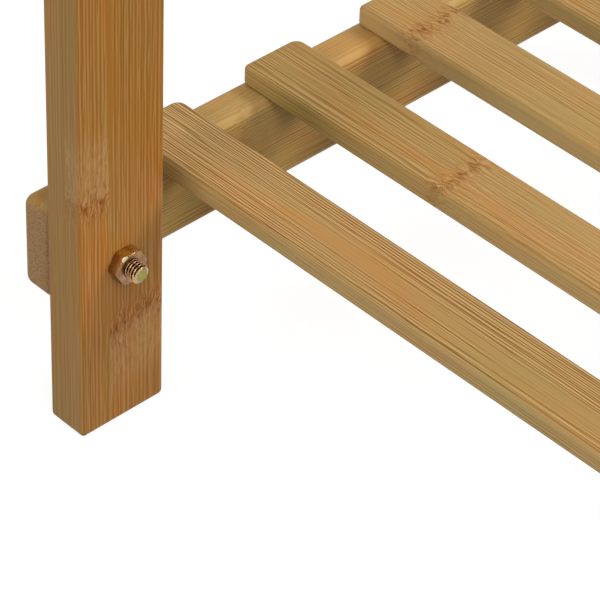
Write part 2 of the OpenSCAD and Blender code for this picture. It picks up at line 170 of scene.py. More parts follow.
class Wiring:
    """Adds shader nodes to one node tree and joins them."""

    def __init__(self, tree):
        self.tree = tree
        tree.nodes.clear()

    def add(self, kind, inputs=None, **settings):
        node = self.tree.nodes.new("ShaderNode" + kind)
        node.location = (170 * (len(self.tree.nodes) % 12), -240 * (len(self.tree.nodes) // 12))
        for name, value in settings.items():
            setattr(node, name, value)
        for key, value in (inputs or {}).items():
            self.put(node.inputs[key], value)
        return node

    def put(self, socket, value):
        if isinstance(value, bpy.types.NodeSocket):
            self.tree.links.new(value, socket)
        else:
            socket.default_value = value

    def math(self, operation, *values):
        return self.add("Math", dict(enumerate(values)), operation=operation).outputs[0]

    def vector(self, operation, *values):
        node = self.add("VectorMath", dict(enumerate(values)), operation=operation)
        return node.outputs["Value" if operation == "DOT_PRODUCT" else "Vector"]

    def scaled(self, vector, factor):
        return self.add("VectorMath", {0: vector, "Scale": factor}, operation="SCALE").outputs["Vector"]

    def join(self, x, y, z):
        return self.add("CombineXYZ", {0: x, 1: y, 2: z}).outputs[0]

    def split(self, vector):
        return self.add("SeparateXYZ", {0: vector}).outputs

    def smooth(self, value, low, high, to_low=0.0, to_high=1.0):
        """value eased from to_low at low to to_high at high."""
        inputs = {"Value": value, "From Min": low, "From Max": high, "To Min": to_low, "To Max": to_high}
        return self.add("MapRange", inputs, interpolation_type="SMOOTHSTEP").outputs["Result"]

    def noise(self, vector, scale, detail=0.0, roughness=0.5, dimensions="3D"):
        inputs = {"Vector": vector, "Scale": scale, "Detail": detail, "Roughness": roughness}
        return self.add("TexNoise", inputs, noise_dimensions=dimensions).outputs["Fac"]

    def blend(self, amount, first, second, mode="MIX"):
        inputs = {0: amount, 6: first, 7: second}
        return self.add("Mix", inputs, data_type="RGBA", blend_type=mode).outputs[2]

    def group(self, name, **values):
        if name not in bpy.data.node_groups:
            EFFECTS[name]()
        node = self.add("Group", node_tree=bpy.data.node_groups[name])
        for key, value in values.items():
            self.put(node.inputs[key.replace("_", " ")], value)
        return node.outputs


def of_kind(kind, *labels):
    """Sockets of one kind, in this order and without a value of their own."""
    return [(label, kind) for label in labels]


class Group(Wiring):
    """A shader node group with named inputs and outputs."""

    def __init__(self, name, inputs, outputs):
        super().__init__(bpy.data.node_groups.new(name, "ShaderNodeTree"))
        for in_out, sockets in (("INPUT", inputs), ("OUTPUT", outputs)):
            for label, kind, *value in sockets:
                socket = self.tree.interface.new_socket(
                    name=label, in_out=in_out, socket_type="NodeSocket" + kind
                )
                if value:
                    socket.default_value = value[0]
        self.given = self.tree.nodes.new("NodeGroupInput").outputs
        self.result = self.tree.nodes.new("NodeGroupOutput").inputs

    def give(self, **values):
        for key, value in values.items():
            self.put(self.result[key.replace("_", " ")], value)


# ---------------------------------------------------------------- effects shared by several materials

# What the fibres and the growth nodes hand on to the bamboo's colour
GRAIN_MASKS = ("Dark", "Pale", "Bands", "Tint", "Dots")
NODE_MASKS = ("Band", "Dark Strokes", "Pale Strokes", "Scar", "Beside", "Speckled", "Mottle")


def bar_space_group():
    """Turns a point or a normal of the bench into a bar's own directions."""
    g = Group(
        "Bar space",
        [
            ("Vector", "Vector"),
            ("Centre", "Vector"),
            ("Along", "Vector", X),
            ("Across", "Vector", Y),
            ("Deep", "Vector", Z),
        ],
        [("Vector", "Vector")],
    )
    local = g.vector("SUBTRACT", g.given["Vector"], g.given["Centre"])
    parts = [g.vector("DOT_PRODUCT", local, g.given[side]) for side in ("Along", "Across", "Deep")]
    g.give(Vector=g.join(*parts))


def glued_strips_group():
    """Divides a bar into the strips it is glued from, each with its own tone and its own piece of grain."""
    g = Group(
        "Glued strips",
        [
            ("Point", "Vector"),
            ("Strip Width", "Float", 0.02),
            ("Strip Start", "Float", 0.0),
            ("Ply Thickness", "Float", 0.007),
            ("Ply Start", "Float", 0.0),
            ("Seed", "Float", 0.0),
        ],
        of_kind("Float", "Strip", "Ply", "Tone", "Glue Line") + of_kind("Vector", "Shift"),
    )
    _, across, deep = g.split(g.given["Point"])
    cells, lines = [], []
    for place, start, width in (
        (across, g.given["Strip Start"], g.given["Strip Width"]),
        (deep, g.given["Ply Start"], g.given["Ply Thickness"]),
    ):
        count = g.math("DIVIDE", g.math("SUBTRACT", place, start), width)
        cells.append(g.math("FLOOR", count))
        from_edge = g.math("MULTIPLY", g.math("PINGPONG", count, 0.5), width)
        lines.append(g.smooth(from_edge, 0.00004, 0.00022, 1.0, 0.0))
    random = g.add(
        "TexWhiteNoise", {"Vector": g.join(cells[0], cells[1], g.given["Seed"])}, noise_dimensions="3D"
    )
    centred = g.vector("SUBTRACT", random.outputs["Color"], (0.5, 0.5, 0.5))
    g.give(
        Strip=cells[0],
        Ply=cells[1],
        Shift=g.vector("MULTIPLY", centred, (9.0, 0.7, 0.7)),
        Tone=random.outputs["Value"],
        Glue_Line=g.math("MAXIMUM", *lines),
    )


def growth_node_group():
    """The rings where a bamboo stem had its joints: the fibres swirl, and short strokes lie over them."""
    g = Group(
        "Growth nodes",
        [
            ("Point", "Vector"),
            ("Shift", "Vector"),
            ("Strip", "Float"),
            ("Ply", "Float"),
            ("First Place", "Float", 0.0),
            ("Strip Step", "Float", 0.0),
            ("Ply Step", "Float", 0.0),
            ("Spacing", "Float", 0.26),
            ("Lean", "Float", 0.1),
            ("Reach", "Float", 0.008),
            ("Swirl", "Float", 0.004),
            ("Mottle Reach", "Float", 0.02),
        ],
        of_kind("Vector", "Point") + of_kind("Float", *NODE_MASKS),
    )
    along, across, deep = g.split(g.given["Point"])
    shifted = g.vector("ADD", g.given["Point"], g.given["Shift"])
    # Every second strip is glued in the other way up, so the speckled side of its nodes is the other one.
    odd = g.math("FLOORED_MODULO", g.given["Strip"], 2.0)
    way = g.math("MULTIPLY_ADD", odd, -2.0, 1.0)
    place = g.math("MULTIPLY_ADD", g.given["Strip"], g.given["Strip Step"], g.given["First Place"])
    place = g.math("MULTIPLY_ADD", g.given["Ply"], g.given["Ply Step"], place)
    lean = g.math("MULTIPLY", g.math("MULTIPLY", across, g.given["Lean"]), odd)
    away = g.math("SUBTRACT", g.math("SUBTRACT", along, place), lean)
    ragged = g.noise(g.vector("MULTIPLY", shifted, (25, 420, 420)), 1.0, 1.0)
    away = g.math("MULTIPLY_ADD", g.math("SUBTRACT", ragged, 0.5), 0.006, away)
    half = g.math("MULTIPLY", g.given["Spacing"], 0.5)
    away = g.math("WRAP", away, half, g.math("MULTIPLY", half, -1.0))
    near = g.math("ABSOLUTE", away)
    band = g.smooth(near, 0.0, g.given["Reach"], 1.0, 0.0)
    wide = g.smooth(near, 0.0, g.math("MULTIPLY", g.given["Reach"], 3.0), 1.0, 0.0)
    scar = g.smooth(near, 0.0, 0.0011, 1.0, 0.0)
    reach = g.given["Mottle Reach"]
    speckled = g.math("MULTIPLY", away, way)
    fading = g.smooth(speckled, g.math("MULTIPLY", reach, 0.5), reach, 1.0, 0.0)
    speckled = g.math("MULTIPLY", g.smooth(speckled, -0.001, 0.002), fading)
    # The fibres drift sideways near a node and swirl in it.
    drift = g.math("SUBTRACT", g.noise(g.vector("MULTIPLY", shifted, (40, 130, 130)), 1.0, 1.0), 0.5)
    swirl = g.math("SUBTRACT", g.noise(g.vector("MULTIPLY", shifted, (300, 420, 420)), 1.0, 1.0), 0.5)
    side = g.math("MULTIPLY_ADD", g.math("MULTIPLY", drift, wide), 0.4, g.math("MULTIPLY", swirl, band))
    side = g.math("MULTIPLY", side, g.given["Swirl"])
    bent = g.join(along, g.math("ADD", across, side), g.math("ADD", deep, side))
    # Strokes are noise drawn out along a line that leans a little away from the grain.
    leaning_along = g.math("MULTIPLY_ADD", across, 0.12, along)
    leaning_across = g.math("MULTIPLY_ADD", along, -0.12, g.math("ADD", across, side))
    leaning = g.vector("ADD", g.join(leaning_along, leaning_across, deep), g.given["Shift"])
    strokes = g.noise(g.vector("MULTIPLY", leaning, (230, 1600, 1600)), 1.0, 2.0, 0.6)
    flecks = g.noise(g.vector("MULTIPLY", leaning, (360, 1500, 1500)), 1.0, 2.0, 0.6)
    g.give(
        Point=bent,
        Band=band,
        Dark_Strokes=g.math("MULTIPLY", g.smooth(strokes, 0.50, 0.60), band),
        Pale_Strokes=g.math("MULTIPLY", g.smooth(strokes, 0.47, 0.38), band),
        Scar=scar,
        Speckled=speckled,
        Beside=g.math("SINE", g.math("MULTIPLY", g.math("DIVIDE", away, half), math.pi)),
        Mottle=g.math("MULTIPLY", g.smooth(flecks, 0.42, 0.66), speckled),
    )


def fibres_group():
    """Long fine fibres and short dashes, deeper where a bar is rich in fibres, and fainter and lighter past a
    given point along it, which is partly painted shade at the bar's low end.
    """
    g = Group(
        "Bamboo fibres",
        [
            ("Point", "Vector"),
            ("Shift", "Vector"),
            ("Fibre Size", "Float", 0.0005),
            ("Waviness", "Float", 0.0003),
            ("Front Richness", "Float", 0.0),
            ("Back Richness", "Float", 0.0),
            ("Calm From", "Float", 10.0),
            ("Calm To", "Float", 11.0),
        ],
        of_kind("Float", *GRAIN_MASKS),
    )
    along, across, _ = g.split(g.given["Point"])
    point = g.vector("ADD", g.given["Point"], g.given["Shift"])
    wander = g.noise(g.vector("MULTIPLY", point, (9, 40, 40)), 1.0, 1.0)
    wander = g.math("MULTIPLY", g.math("SUBTRACT", wander, 0.5), g.math("MULTIPLY", g.given["Waviness"], 4.0))
    point = g.vector("ADD", point, g.join(0.0, wander, wander))
    tint = g.noise(g.vector("MULTIPLY", point, (22, 95, 95)), 1.0, 1.0)
    bands = g.noise(g.vector("MULTIPLY", point, (5, 230, 230)), 1.0, 1.0)
    front = g.math("MULTIPLY", g.smooth(across, 0.001, -0.009, 0.0, 0.3), g.given["Front Richness"])
    back = g.math("MULTIPLY", g.smooth(across, -0.001, 0.009, 0.0, 0.3), g.given["Back Richness"])
    # Painted shade: short of the given point the bands stay as they are; past it they ease, so the bar turns
    # lighter with fainter grain.
    calm_and_painted_light = g.smooth(along, g.given["Calm From"], g.given["Calm To"], 0.0, 0.3)
    bands = g.math("SUBTRACT", g.math("ADD", g.math("ADD", front, back), bands), calm_and_painted_light)
    # The fibres are layers that slant through the bar. Taking away the same noise a step aside leaves only
    # the fine ones.
    tight = g.math("DIVIDE", 1.0, g.given["Fibre Size"])
    length, across, deep = g.split(point)
    layer = g.math("MULTIPLY", g.math("ADD", across, deep), tight)
    beside = g.math("ADD", layer, 0.85)
    grain = 0.0
    for along_scale, strength in ((7, 1.0), (75, 0.55)):
        run = g.math("MULTIPLY", length, along_scale)
        here, aside = (g.noise(g.join(run, y, 0.0), 1.0, dimensions="2D") for y in (layer, beside))
        grain = g.math("MULTIPLY_ADD", g.math("SUBTRACT", here, aside), strength, grain)
    grain = g.math("MULTIPLY", grain, g.smooth(bands, 0.25, 0.75, 0.25, 1.9))
    bundles = g.add("TexVoronoi", {"Vector": g.scaled(g.join(0.0, across, deep), tight), "Scale": 0.8})
    g.give(
        Dark=g.smooth(grain, 0.0, 0.30),
        Pale=g.smooth(grain, -0.02, -0.32),
        Bands=bands,
        Tint=tint,
        Dots=g.smooth(bundles.outputs["Distance"], 0.20, 0.50, 1.0, 0.0),
    )


def bar_faces_group():
    """Tells a bar's cut ends and its narrow sides from its wide faces."""
    g = Group("Bar faces", [("Normal", "Vector")], [("End", "Float"), ("Side", "Float")])
    along, across, _ = [g.math("ABSOLUTE", part) for part in g.split(g.given["Normal"])]
    g.give(End=g.smooth(along, 0.60, 0.90), Side=g.smooth(across, 0.60, 0.95))


def bamboo_colour_group():
    """Lays the grain, the nodes and the cut faces over a bar's tone. The narrow sides get fainter grain."""
    g = Group(
        "Bamboo colour",
        [
            *of_kind("Color", "Tone", "Fibre Shade", "Pale Tone", "Side Tone", "End Tone", "Node Tone"),
            *of_kind("Float", *GRAIN_MASKS, *NODE_MASKS, "Strip Random", "Glue Line", "End", "Side"),
            ("Dark Share", "Float", 0.7),
            ("Pale Share", "Float", 0.4),
            ("Strip Change", "Float", 0.12),
            ("Node Change", "Float", 0.05),
            ("Node Share", "Float", 1.0),
            ("Mottle Share", "Float", 0.3),
        ],
        [("Color", "Color"), ("Roughness", "Float"), ("Height", "Float")],
    )
    given = g.given
    colour = g.blend(given["Side"], given["Tone"], given["Side Tone"])
    # Warm and greenish drifts, then the slow change from band to band, from strip to strip and across a node.
    # What is darker is warmer too.
    warm, green = g.smooth(given["Tint"], 0.50, 0.72), g.smooth(given["Tint"], 0.48, 0.28)
    colour = g.blend(warm, colour, (1.06, 0.94, 0.82, 1), "MULTIPLY")
    colour = g.blend(green, colour, (0.94, 1.02, 1.02, 1), "MULTIPLY")
    level = g.math("MULTIPLY_ADD", g.math("SUBTRACT", 0.5, given["Bands"]), 0.13, 1.0)
    level = g.math("MULTIPLY_ADD", given["Beside"], given["Node Change"], level)
    strip = g.math("MULTIPLY", g.math("SUBTRACT", given["Strip Random"], 0.5), given["Strip Change"])
    level = g.math("ADD", level, strip)
    level = g.math("MULTIPLY_ADD", given["Glue Line"], -0.14, level)
    colour = g.blend(1.0, colour, g.join(level, level, g.math("MULTIPLY", level, level)), "MULTIPLY")
    # Fibres.
    shade = given["Fibre Shade"]
    fainter = g.smooth(given["Side"], 0.0, 1.0, 1.0, 0.45)
    dark, pale = (g.math("MULTIPLY", given[name], fainter) for name in ("Dark", "Pale"))
    colour = g.blend(g.math("MULTIPLY", dark, given["Dark Share"]), colour, shade, "MULTIPLY")
    colour = g.blend(g.math("MULTIPLY", pale, given["Pale Share"]), colour, given["Pale Tone"])
    # Growth nodes.
    amount = g.math("MULTIPLY", fainter, given["Node Share"])
    names = ("Dark Strokes", "Pale Strokes", "Band", "Scar")
    dark, pale, band, scar = (g.math("MULTIPLY", given[name], amount) for name in names)
    colour = g.blend(g.math("MULTIPLY", band, 0.35), colour, given["Node Tone"])
    colour = g.blend(dark, colour, shade, "MULTIPLY")
    colour = g.blend(g.math("MULTIPLY", pale, given["Pale Share"]), colour, given["Pale Tone"])
    colour = g.blend(g.math("MULTIPLY", scar, 0.35), colour, shade, "MULTIPLY")
    # Dark flecks in a paler ground on one side of a node.
    amount = given["Mottle Share"]
    paler, flecks = (g.math("MULTIPLY", given[name], amount) for name in ("Speckled", "Mottle"))
    colour = g.blend(g.math("MULTIPLY", paler, 0.45), colour, given["Pale Tone"])
    colour = g.blend(flecks, colour, shade, "MULTIPLY")
    # Cut ends: dark fibre bundles in a paler ground.
    ends = g.blend(g.math("MULTIPLY", given["Dots"], 0.8), given["End Tone"], shade, "MULTIPLY")
    colour = g.blend(given["End"], colour, ends)
    rough = g.math("MULTIPLY_ADD", given["Dark"], 0.08, 0.44)
    rough = g.math("MULTIPLY_ADD", given["End"], 0.14, rough)
    height = g.math("MULTIPLY", g.math("ADD", given["Dark"], given["Dark Strokes"]), -0.5)
    height = g.math("MULTIPLY_ADD", given["Glue Line"], -0.4, height)
    g.give(Color=colour, Roughness=rough, Height=height)


def plating_group():
    """The drift from one shade to others of a passivated zinc layer, and its tiny pits."""
    g = Group(
        "Zinc plating",
        [
            ("Point", "Vector"),
            ("Main", "Color"),
            ("First Drift", "Color"),
            ("Second Drift", "Color"),
            ("Patch Size", "Float", 0.003),
            ("Smoothest", "Float", 0.25),
        ],
        [("Color", "Color"), ("Roughness", "Float"), ("Height", "Float")],
    )
    point = g.scaled(g.given["Point"], g.math("DIVIDE", 1.0, g.given["Patch Size"]))
    first = g.noise(point, 1.0, 1.5)
    second = g.noise(g.vector("ADD", point, (17.3, 17.3, 0)), 1.0, 1.5)
    colour = g.blend(g.smooth(first, 0.46, 0.68, 0.0, 0.75), g.given["Main"], g.given["First Drift"])
    colour = g.blend(g.smooth(second, 0.52, 0.70, 0.0, 0.75), colour, g.given["Second Drift"])
    pits = g.noise(point, 9.0, 3.0, 0.6)
    worn = g.math("ADD", g.smooth(pits, 0.35, 0.7, 0.0, 0.16), g.given["Smoothest"])
    g.give(Color=colour, Roughness=worn, Height=pits)


EFFECTS = {
    "Bar space": bar_space_group,
    "Glued strips": glued_strips_group,
    "Growth nodes": growth_node_group,
    "Bamboo fibres": fibres_group,
    "Bar faces": bar_faces_group,
    "Bamboo colour": bamboo_colour_group,
    "Zinc plating": plating_group,
}


# ---------------------------------------------------------------- materials


def new_material(name):
    material = bpy.data.materials.new(name)
    material.use_nodes = True
    return material, Wiring(material.node_tree)


def surface(w, colour, roughness, height, strength, depth, **more):
    """Closes a material with a shader over a bumped surface. more gives the shader's other values."""
    bump = w.add("Bump", {"Height": height, "Strength": strength, "Distance": depth})
    inputs = {"Base Color": colour, "Roughness": roughness, "Normal": bump.outputs[0]}
    for name, value in more.items():
        inputs[name.replace("_", " ")] = value
    shader = w.add("BsdfPrincipled", inputs)
    w.add("OutputMaterial", {"Surface": shader.outputs[0]})


def dress(node, material):
    """Puts a material on every slot of a CAD node."""
    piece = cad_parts[node]
    if not piece.material_slots:
        piece.data.materials.append(material)
    for slot in piece.material_slots:
        slot.material = material


def picked(outputs, names):
    """The outputs with these names, as the values that a group takes."""
    return {name.replace(" ", "_"): outputs[name] for name in names}


def dress_in_bamboo(node, grain, tones, seed, strip, ply, place, **own):
    """Gives one bar its own bamboo.

    strip and ply are the width of the glued strips and where one starts, across the bar and through it.
    place is the first growth node's distance from the bar's low end. own may set the strength and the size
    of the fibres, and the lean, reach and swirl of the nodes.
    """
    b = bpy.context.scene.bench_bamboo
    low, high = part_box(node)
    centre = (low + high) / 2
    along = Vector(grain[0])
    material, w = new_material("bamboo_" + node)
    directions = {"Along": grain[0], "Across": grain[1], "Deep": grain[2]}
    seen = w.add("TexCoord").outputs["Object"]
    facing = w.add("NewGeometry").outputs["Normal"]
    point = w.group("Bar space", Vector=seen, Centre=tuple(centre), **directions)[0]
    normal = w.group("Bar space", Vector=facing, **directions)[0]
    cells = w.group(
        "Glued strips",
        Point=point,
        Strip_Width=strip[0],
        Strip_Start=strip[1],
        Ply_Thickness=ply[0],
        Ply_Start=ply[1],
        Seed=seed,
    )
    nodes = w.group(
        "Growth nodes",
        Point=point,
        Shift=cells["Shift"],
        Strip=cells["Strip"],
        Ply=cells["Ply"],
        First_Place=place - (high - low).dot(along) / 2,
        Strip_Step=own.get("strip_step", 0.0),
        Ply_Step=own.get("ply_step", 0.0),
        Spacing=b.node_spacing,
        Lean=own.get("lean", 0.1),
        Reach=own.get("reach", 0.006),
        Swirl=own.get("swirl", 0.004),
        Mottle_Reach=own.get("mottle_reach", 0.02),
    )
    # The span past which a bar turns lighter and quieter: partly calmer grain, partly painted shade at its
    # low end.
    calm_and_painted_light = own.get("calm_and_painted_light", (10, 11))
    fibres = w.group(
        "Bamboo fibres",
        Point=nodes["Point"],
        Shift=cells["Shift"],
        Fibre_Size=own.get("fibre_size", b.fibre_size),
        Waviness=b.waviness,
        Front_Richness=own.get("front_rich", 0.0),
        Back_Richness=own.get("back_rich", 0.0),
        Calm_From=calm_and_painted_light[0],
        Calm_To=calm_and_painted_light[1],
    )
    faces = w.group("Bar faces", Normal=normal)
    colour = w.group(
        "Bamboo colour",
        Tone=linear(tones[0]),
        Side_Tone=linear(tones[1]),
        Fibre_Shade=linear(b.fibre_shade),
        Pale_Tone=linear(b.pale_tone),
        End_Tone=linear(b.end_tone),
        Node_Tone=linear(b.node_tone),
        Dark_Share=own.get("dark", 0.7),
        Pale_Share=own.get("pale", 0.4),
        Strip_Random=cells["Tone"],
        Glue_Line=cells["Glue Line"],
        Node_Share=own.get("nodes", 1.0),
        Node_Change=own.get("node_change", 0.03),
        Mottle_Share=own.get("mottle", 0.2),
        End=faces["End"],
        Side=faces["Side"],
        **picked(fibres, GRAIN_MASKS),
        **picked(nodes, NODE_MASKS),
    )
    lacquer = dict(IOR=1.5, Specular_IOR_Level=0.12, Coat_Weight=0.04, Coat_Roughness=0.30)
    surface(w, colour["Color"], colour["Roughness"], colour["Height"], 0.7, b.groove, **lacquer)
    dress(node, material)


def plated(name, main, first, second, patch_size=0.003):
    """Makes a plated metal, whose main shade drifts to two others."""
    material, w = new_material(name)
    plating = w.group(
        "Zinc plating",
        Point=w.add("TexCoord").outputs["Object"],
        Main=linear(main),
        First_Drift=linear(first),
        Second_Drift=linear(second),
        Patch_Size=patch_size,
    )
    surface(w, plating["Color"], plating["Roughness"], plating["Height"], 0.25, 0.05 * MM, Metallic=1.0)
    return material


def zinc(part):
    """The yellow zinc of one kind of surface, made when it is first asked for."""
    m = bpy.context.scene.bench_metal
    drifts = {
        "face": (m.rose, m.olive),
        "upward_flat_painted_reflection": (m.side_flat_painted_shade, m.upward_flat_painted_reflection),
        "side_flat_painted_shade": (m.olive, m.side_flat_painted_shade),
        "painted_glint": (m.crest, m.painted_glint),
        "crest": (m.rose, m.face),
        "hollow_shade": (m.hollow_shade, m.rose),
        "tip": (m.olive, m.tip),
        "rim": (m.teal, m.face),
    }
    name = "yellow_zinc_" + part
    return bpy.data.materials.get(name) or plated(name, getattr(m, part), *drifts[part])


def plain_steel():
    steel = bpy.context.scene.bench_metal.steel
    dull = tuple(0.85 * part for part in steel)
    return plated("plain_zinc_steel", steel, dull, steel, patch_size=0.006)


def dowel_wood():
    material, w = new_material("dowel_birch")
    point = w.add("TexCoord").outputs["Object"]
    upright = w.group("Bar space", Vector=point, Along=Z, Across=Y, Deep=X)[0]
    fibres = w.group("Bamboo fibres", Point=upright, Fibre_Size=0.0005, Waviness=0.0004)
    colour = w.blend(fibres["Dark"], linear((0.86, 0.75, 0.58)), linear((0.76, 0.62, 0.44)))
    rough = w.math("MULTIPLY_ADD", fibres["Dark"], 0.15, 0.55)
    surface(w, colour, rough, fibres["Dark"], 0.6, 0.1 * MM)
    return material


# ---------------------------------------------------------------- threaded bolts and nuts


def at_corners(node):
    """At each corner of the bench: a frame on the outside of a node's part, the part's box and its points.

    The frame's +Z runs from the bench's end to its middle.
    """
    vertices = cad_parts[node].data.vertices
    for x_side, y_side in ((-1, -1), (-1, 1), (1, -1), (1, 1)):
        points = [v.co for v in vertices if v.co.x * x_side > 0 and v.co.y * y_side > 0]
        low = Vector([min(p[i] for p in points) for i in range(3)])
        high = Vector([max(p[i] for p in points) for i in range(3)])
        centre = (low + high) / 2
        turn = Vector((-x_side, 0, 0)).to_track_quat("Z", "Y").to_matrix().to_4x4()
        outside = low.x if x_side < 0 else high.x
        yield Matrix.Translation((outside, centre.y, centre.z)) @ turn, low, high, points


def skin(bm, rings, close_ends=True, finish_at=lambda k, i: 0):
    """Joins rings of vertices, all with the same count, into one closed skin, with a finish for each face."""
    made = [[bm.verts.new(p) for p in ring] for ring in rings]
    count = len(rings[0])
    for k, (first, second) in enumerate(zip(made, made[1:])):
        for i in range(count):
            j = (i + 1) % count
            bm.faces.new((first[i], first[j], second[j], second[i])).material_index = finish_at(k, i)
    if close_ends:
        bm.faces.new(list(reversed(made[0])))
        bm.faces.new(made[-1]).material_index = finish_at(len(made) - 1, 0)
    return made


def ring(place, radius_at, z_at, steps):
    """Points round the +Z of place, whose distance and height may change with the angle."""
    return [
        place @ Vector((radius_at(a) * math.cos(a), radius_at(a) * math.sin(a), z_at(a)))
        for a in (2 * math.pi * i / steps for i in range(steps))
    ]


def bolt_skin(bm, place, head_height, head_radius, total, shank_radius):
    """A coach bolt with a domed head, a helical thread and a chamfered end. Its head's top is at z = 0."""
    m = bpy.context.scene.bench_metal
    steps = m.turn_steps
    rings = []
    dome = (head_radius ** 2 + head_height ** 2) / (2 * head_height)
    dome_rings = 12
    rim = 0.25 * MM
    crest_share, slope_share = 0.12, 0.70
    for k in range(1, dome_rings + 1):
        r = head_radius * math.sin(k / dome_rings * math.pi / 2)
        z = dome - math.sqrt(max(dome ** 2 - r ** 2, 0))
        z = min(z, head_height - rim)
        rings.append((lambda a, r=r: r, z))
    rings.append((lambda a: head_radius, head_height))
    rings.append((lambda a: shank_radius, head_height))
    thread_start = total - m.thread_length
    tip_radius = shank_radius - m.end_chamfer
    cone = 0.7 * m.end_chamfer
    rings.append((lambda a: shank_radius, thread_start))

    def crest_radius(z):
        return min(shank_radius, tip_radius + (total - z) * m.end_chamfer / cone)

    def thread(z):
        def radius(a):
            turn = ((z / m.pitch - a / (2 * math.pi)) % 1.0) * 2 - 1
            cut = min(max((abs(turn) - crest_share) / slope_share, 0), 1)
            cut = cut * cut * (3 - 2 * cut)
            depth = m.thread_depth * cut * min(1, (z - thread_start) / m.pitch)
            return min(shank_radius - depth, crest_radius(z))

        return radius

    step = m.pitch / 10
    count = int((total - thread_start) / step)
    for k in range(1, count + 1):
        z = thread_start + k * (total - thread_start) / count
        rings.append((thread(z), z))
    rings.append((lambda a: tip_radius * 0.82, total - 0.04 * MM))
    rings.append((lambda a: tip_radius * 0.45, total - 0.10 * MM))
    made = skin(bm, [ring(place, radius, lambda a, z=z: z, steps) for radius, z in rings])
    inverse = place.inverted()
    faces = {face for circle in made for corner in circle for face in corner.link_faces}
    for face in faces:
        middle = inverse @ face.calc_center_median()
        from_axis = math.hypot(middle.x, middle.y)
        if middle.z > total - 0.12 * MM:
            face.material_index = BOLT_FINISHES.index("tip" if from_axis < 0.85 * tip_radius else "rim")
        # Painted shade: faces sunk in the thread take the dark tone.
        elif middle.z > thread_start and from_axis < crest_radius(middle.z) - 0.3 * m.thread_depth:
            face.material_index = BOLT_FINISHES.index("hollow_shade")


def neck_skin(bm, place, side, start, end):
    """The square neck under a coach bolt's head."""
    half, cut = side / 2, 0.3 * MM
    corners = []
    for sx, sy in ((1, 1), (-1, 1), (-1, -1), (1, -1)):
        near, far = (half - cut, half), (half, half - cut)
        pair = (far, near) if sx * sy > 0 else (near, far)
        corners += [(sx * x, sy * y) for x, y in pair]
    skin(bm, [[place @ Vector((x, y, z)) for x, y in corners] for z in (start, end)])


def nut_skin(bm, place, flats, height, corner_angle, bore):
    """A hexagon nut with its corners turned off on both faces and a countersunk hole."""
    steps = 96
    sixth = math.pi / 3
    flat_ring = 0.475 * flats
    slope = math.tan(math.radians(30))
    round_off = 0.12 * MM
    corner_fall = 0.8 * MM
    soft = 0.16 * MM

    def hexagon(a):
        """Distance to the hexagon's side, with the corner slightly rounded."""
        off = abs((a - corner_angle + sixth / 2) % sixth - sixth / 2)
        side = flats / 2 / math.cos(sixth / 2 - off)
        sharp = flats / 2 / math.cos(sixth / 2)
        return min(side, sharp - round_off + off * corner_fall)

    def chamfer(a):
        return max(hexagon(a) - flat_ring, 0) * slope

    sink = 0.45 * MM
    profile = [
        (lambda a: bore, lambda a: sink),
        (lambda a: bore + sink, lambda a: 0.0),
        (lambda a: min(flat_ring, hexagon(a)), lambda a: 0.0),
        (lambda a: hexagon(a) - soft, lambda a: chamfer(a) - soft * slope),
        (lambda a: hexagon(a) - 0.2 * soft, lambda a: chamfer(a) + 0.15 * soft),
        (hexagon, lambda a: chamfer(a) + soft),
        (hexagon, lambda a: height - chamfer(a) - soft),
        (lambda a: hexagon(a) - 0.2 * soft, lambda a: height - chamfer(a) - 0.15 * soft),
        (lambda a: hexagon(a) - soft, lambda a: height - chamfer(a) + soft * slope),
        (lambda a: min(flat_ring, hexagon(a)), lambda a: height),
        (lambda a: bore + sink, lambda a: height),
        (lambda a: bore, lambda a: height - sink),
    ]
    rings = [ring(place, radius, z, steps) for radius, z in profile]
    # The countersink and bore spans take the painted shade tone.
    spans = ("hollow_shade", "face", "face", "face", "flat", "flat", "flat", "edge", "edge", "face", "hollow_shade")
    painted_glint_reach = 0.17

    def outward(a):
        return place.to_3x3() @ Vector((math.cos(a), math.sin(a), 0))

    def finish_at(k, i):
        """Painted reflections and a painted highlight: gold on the flats that look up, a darker rose on those
        beside them, the face tone on the lower ones, and a painted glint on one upper corner.
        """
        a = 2 * math.pi * (i + 0.5) / steps
        finish = spans[k]
        if finish == "flat":
            # Painted reflection and shade: each flat's tone is picked by which way it faces.
            middle = corner_angle + (math.floor((a - corner_angle) / sixth) + 0.5) * sixth
            up = outward(middle).z
            finish = "upward_flat_painted_reflection" if up > 0.8 else "side_flat_painted_shade" if up > 0 else "face"
        elif finish == "edge":
            # Painted highlight: the edge ring round the upper front corner gets the pale glint tone.
            corner = corner_angle + round((a - corner_angle) / sixth) * sixth
            painted_glint = abs(a - corner) < painted_glint_reach and outward(corner).z > 0.75 and outward(corner).y < 0
            finish = "painted_glint" if painted_glint else "face"
        return NUT_FINISHES.index(finish)

    made = skin(bm, rings, close_ends=False, finish_at=finish_at)
    for i in range(steps):
        j = (i + 1) % steps
        bore_face = bm.faces.new((made[-1][i], made[-1][j], made[0][j], made[0][i]))
        bore_face.material_index = NUT_FINISHES.index("hollow_shade")


def finish_piece(name, bm, finishes, nodes, smooth_degrees):
    bmesh.ops.remove_doubles(bm, verts=bm.verts, dist=1e-7)
    bmesh.ops.recalc_face_normals(bm, faces=bm.faces)
    mesh = bpy.data.meshes.new(name)
    bm.to_mesh(mesh)
    bm.free()
    for part in finishes:
        mesh.materials.append(zinc(part))
    for face in mesh.polygons:
        face.use_smooth = True
    mesh.set_sharp_from_angle(angle=math.radians(smooth_degrees))
    piece = bpy.data.objects.new(name, mesh)
    bpy.context.scene.collection.objects.link(piece)
    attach(piece, BODY)
    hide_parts(*nodes)


LEGS = ("leg_front_left", "leg_front_right", "leg_back_left", "leg_back_right")
